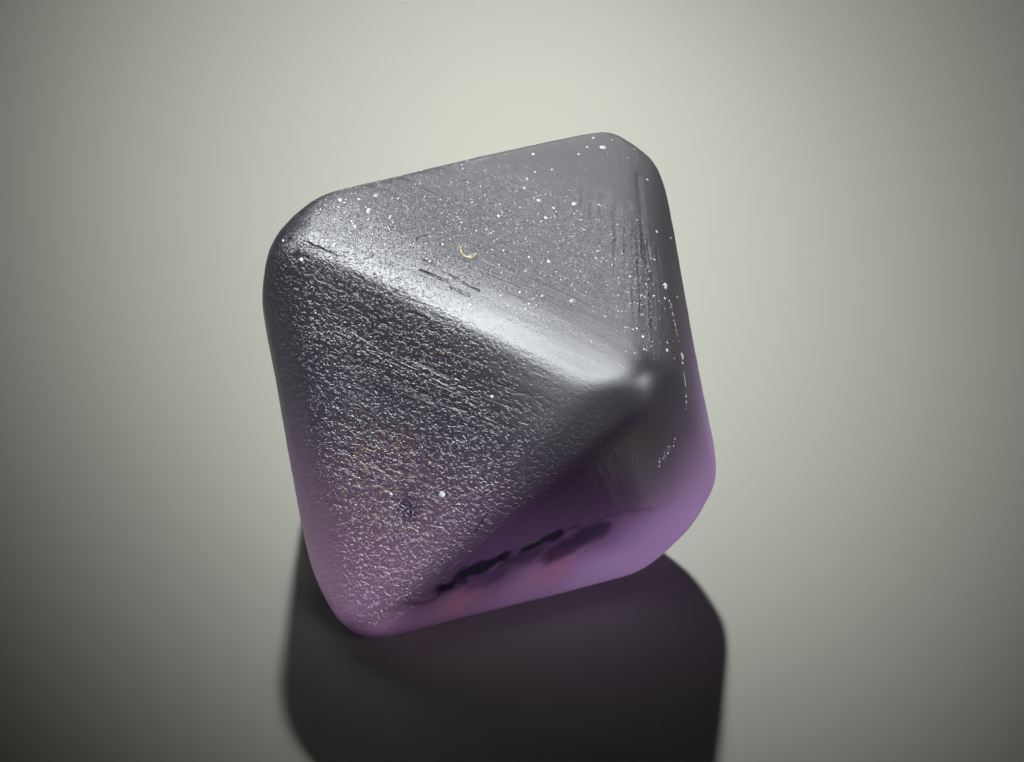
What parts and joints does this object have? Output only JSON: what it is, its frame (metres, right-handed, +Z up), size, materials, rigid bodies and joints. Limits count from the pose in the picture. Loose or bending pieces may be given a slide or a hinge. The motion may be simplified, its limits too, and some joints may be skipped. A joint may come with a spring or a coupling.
{
  "type": "spinel crystal",
  "caption": "Loose natural spinel crystal: a worn, frosted octahedron in translucent grey-purple, lying on one of its faces.",
  "frame": {"origin": "on the surface it rests on, under the middle of the crystal's box", "axes": "+Z up, square to the resting face; +Y from the front tip of the top face to the rear; +X to the right seen from the front"},
  "size_m": [0.0062, 0.0068, 0.0056],
  "materials": {
    "spinel": "translucent grey-purple spinel with a worn, frosted, finely striated surface"
  },
  "bodies": {
    "root": {"spinel_crystal": "spinel"}
  },
  "joints": []
}
